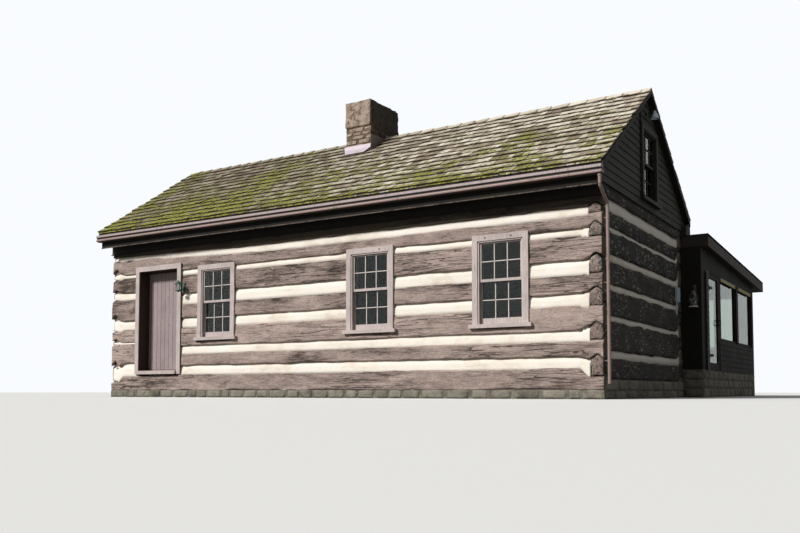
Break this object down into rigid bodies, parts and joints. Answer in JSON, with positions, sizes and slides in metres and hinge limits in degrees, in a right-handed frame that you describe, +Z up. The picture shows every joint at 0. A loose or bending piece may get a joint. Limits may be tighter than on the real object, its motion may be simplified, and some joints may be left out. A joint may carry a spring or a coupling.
{
  "type": "log cabin",
  "caption": "Hewn-log cabin with V-notched corners, mortar chinking, shake roof, stone chimney, boarded gables, sash windows, plank door and a rear glazed sunroom.",
  "frame": {"origin": "centre of the chimney's base, at ground level", "axes": "+X along the front wall towards the right gable, +Y from front to back, +Z up"},
  "size_m": [10.797, 10.92, 5.705],
  "materials": {
    "hewn_logs": "weathered hewn timber",
    "chinking": "trowelled lime mortar",
    "footing_stone": "rough fieldstone",
    "chimney_stone": "rough sandstone blocks",
    "shakes": "weathered split shakes with moss",
    "dark_trim": "dark brown paint",
    "clapboards": "dark olive brown paint",
    "casing_paint": "matt mauve brown paint",
    "door_planks": "matt mauve grey paint",
    "floor_boards": "worn boards",
    "sunroom_boards": "very dark brown paint",
    "sunroom_roofing": "dark satin",
    "gutter_paint": "brown enamel",
    "flashing": "dull sheet",
    "aged_brass": "green patina",
    "dark_metal": "black satin",
    "enamel": "pale enamel",
    "meter_paint": "grey blue satin",
    "glass": "clear"
  },
  "bodies": {
    "house": {"foundation": "footing_stone", "front_sill_log": "hewn_logs", "front_logs_left_of_door": "hewn_logs", "front_low_logs": "hewn_logs", "front_logs_between_windows": "hewn_logs", "front_head_log": "hewn_logs", "front_plate_log": "hewn_logs", "front_chinking": "chinking", "back_wall_logs": "hewn_logs", "back_chinking": "chinking", "right_wall_logs": "hewn_logs", "left_wall_logs": "hewn_logs", "gable_chinking": "chinking", "ground_floor": "floor_boards", "loft_floor": "floor_boards", "chimney_stack": "chimney_stone", "chimney_flashing": "flashing", "front_roof": "shakes", "back_roof": "shakes", "front_rake_boards": "dark_trim", "back_rake_boards": "dark_trim", "eave_boxes": "dark_trim", "right_gable_boards": "clapboards", "left_gable_boards": "clapboards", "front_gutter": "gutter_paint", "downspout": "gutter_paint", "window_frames": "casing_paint", "window_sashes": "casing_paint", "window_glass": "glass", "front_door_frame": "casing_paint", "door_lantern": "aged_brass", "sunroom_lantern": "dark_metal", "gable_lamp": "enamel", "meter_boxes": "meter_paint", "sunroom_floor": "footing_stone", "sunroom_return_wall": "sunroom_boards", "sunroom_header": "sunroom_boards", "sunroom_side_frame": "sunroom_boards", "sunroom_rear_frame": "sunroom_boards", "sunroom_left_frame": "sunroom_boards", "sunroom_sashes": "sunroom_boards", "sunroom_glass": "glass", "sunroom_roof": "sunroom_roofing"},
    "front_door_leaf": {"front_door": "door_planks"},
    "sunroom_door_leaf": {"sunroom_door": "sunroom_boards", "sunroom_door_glass": "glass"}
  },
  "joints": [
    {"name": "front_door_hinge", "type": "hinge", "parent": "house", "child": "front_door_leaf", "pos_m": [-4.067, -1.89, 0.8], "axis": [0, 0, 1], "range_deg": [0, 95]},
    {"name": "sunroom_door_hinge", "type": "hinge", "parent": "house", "child": "sunroom_door_leaf", "pos_m": [5.692, 2.816, 0.8], "axis": [0, 0, -1], "range_deg": [0, 100]}
  ]
}
